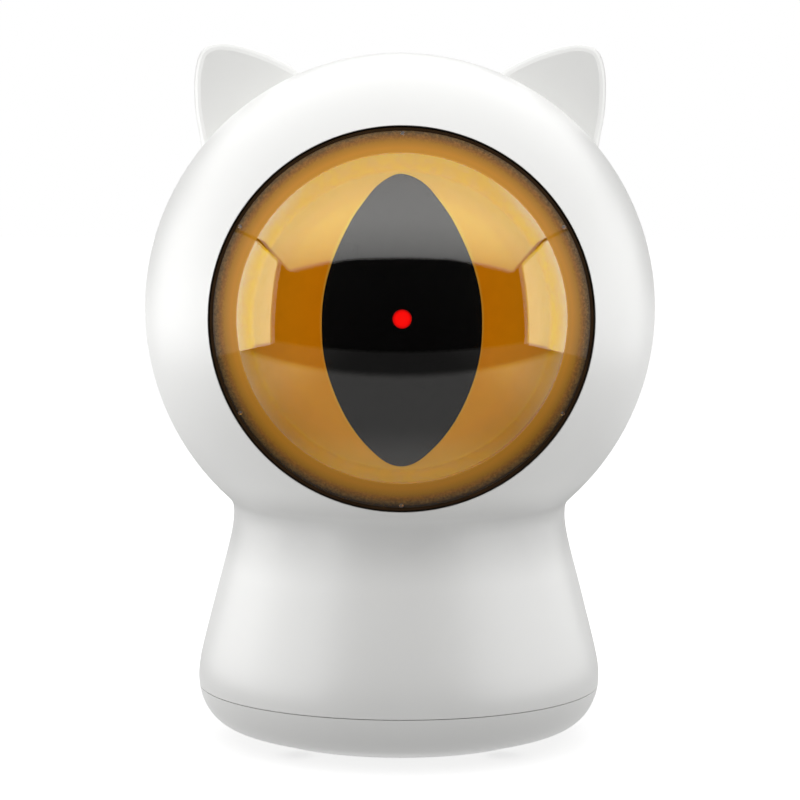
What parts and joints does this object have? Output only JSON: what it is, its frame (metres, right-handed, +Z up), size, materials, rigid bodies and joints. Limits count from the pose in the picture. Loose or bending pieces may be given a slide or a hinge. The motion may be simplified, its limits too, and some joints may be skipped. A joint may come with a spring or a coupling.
{
  "type": "automatic cat laser toy",
  "caption": "Tabletop cat toy: a ball head with ears on a flared base, whose slit-pupil eye pans and tilts behind a clear dome to steer a laser dot.",
  "frame": {"origin": "centre of the non-slip pad's underside, below the head's centre", "axes": "+Z up through the head's centre; the eye looks along -Y; +X is to the right of someone facing the eye"},
  "size_m": [0.0808, 0.0769, 0.1106],
  "materials": {
    "white_shell": "satin moulded white",
    "rubber_black": "matte",
    "steel": "satin",
    "brass": "satin",
    "dome_clear": "clear amber-tinted gloss",
    "gasket_black": "matte",
    "bezel_brown": "speckled satin",
    "eyeball_amber": "gloss",
    "iris_amber": "gloss",
    "pupil_black": "gloss",
    "laser_red": "clear red, lit",
    "holder_grey": "matte",
    "pom_white": "satin acetal",
    "chassis_grey": "matte",
    "motor_can": "satin",
    "board_green": "solder mask",
    "chip_black": "matte",
    "shell_metal": "tin-plated",
    "control_grey": "satin",
    "light_pipe": "frosted",
    "cell_wrap": "foil",
    "wire_red": "insulation"
  },
  "bodies": {
    "housing": {"front_housing": "white_shell", "rear_housing": "white_shell", "bottom_cover": "white_shell", "foot_pad": "rubber_black", "base_screws": "steel", "dome_lens": "dome_clear", "dome_gasket": "gasket_black", "eye_bezel": "bezel_brown", "dome_pins": "steel", "bezel_screws": "steel", "chassis_plate": "chassis_grey", "chassis_screws": "steel", "pan_bush": "brass", "pan_motor": "motor_can", "motor_screws": "steel", "main_pcb": "board_green", "board_components": "chip_black", "board_screws": "steel", "usb_socket": "shell_metal", "button_switch": "chip_black", "slide_switch": "shell_metal", "status_light": "light_pipe", "status_led": "light_pipe", "battery_cell": "cell_wrap", "battery_cradle": "holder_grey", "battery_leads": "wire_red", "motor_leads": "wire_red"},
    "yoke": {"pan_yoke": "chassis_grey", "pan_shaft": "steel", "pan_gear": "pom_white", "shaft_clip": "steel", "tilt_motor": "motor_can", "tilt_pins": "steel"},
    "eye": {"eyeball_shell": "eyeball_amber", "iris_disc": "iris_amber", "pupil_insert": "pupil_black", "laser_window": "laser_red", "laser_module": "brass", "laser_holder": "holder_grey", "holder_screws": "steel", "tilt_sector": "pom_white"},
    "pan_pinion": {"pan_pinion": "brass"},
    "tilt_pinion": {"tilt_pinion": "brass"},
    "button": {"mode_button": "control_grey"},
    "knob": {"power_knob": "chip_black"}
  },
  "joints": [
    {"name": "pan", "type": "hinge", "parent": "housing", "child": "yoke", "pos_m": [0, 0, 0.02917], "axis": [0, 0, 1], "range_deg": [-22, 22]},
    {"name": "tilt", "type": "hinge", "parent": "yoke", "child": "eye", "pos_m": [0, 0, 0.06853], "axis": [1, 0, 0], "range_deg": [-10, 22]},
    {"name": "pan_pinion_spin", "type": "hinge", "parent": "housing", "child": "pan_pinion", "pos_m": [0, -0.01685, 0.02917], "axis": [0, 0, 1], "range_deg": [-67, 67]},
    {"name": "tilt_pinion_spin", "type": "hinge", "parent": "yoke", "child": "tilt_pinion", "pos_m": [0.0232, 0.01825, 0.06853], "axis": [1, 0, 0], "range_deg": [-74, 34]},
    {"name": "button_press", "type": "slide", "parent": "housing", "child": "button", "axis": [0.454, -0.891, 0], "range_m": [0, 0.0005], "stiffness_N_per_m": 1500, "springref_m": -0.0003},
    {"name": "power_slide", "type": "slide", "parent": "housing", "child": "knob", "axis": [0.891, -0.454, 0], "range_m": [0, 0.0024]}
  ],
  "couplings": [
    {"joint": "pan_pinion_spin", "follows": "pan", "ratio": -3},
    {"joint": "tilt_pinion_spin", "follows": "tilt", "ratio": -3.3333}
  ]
}
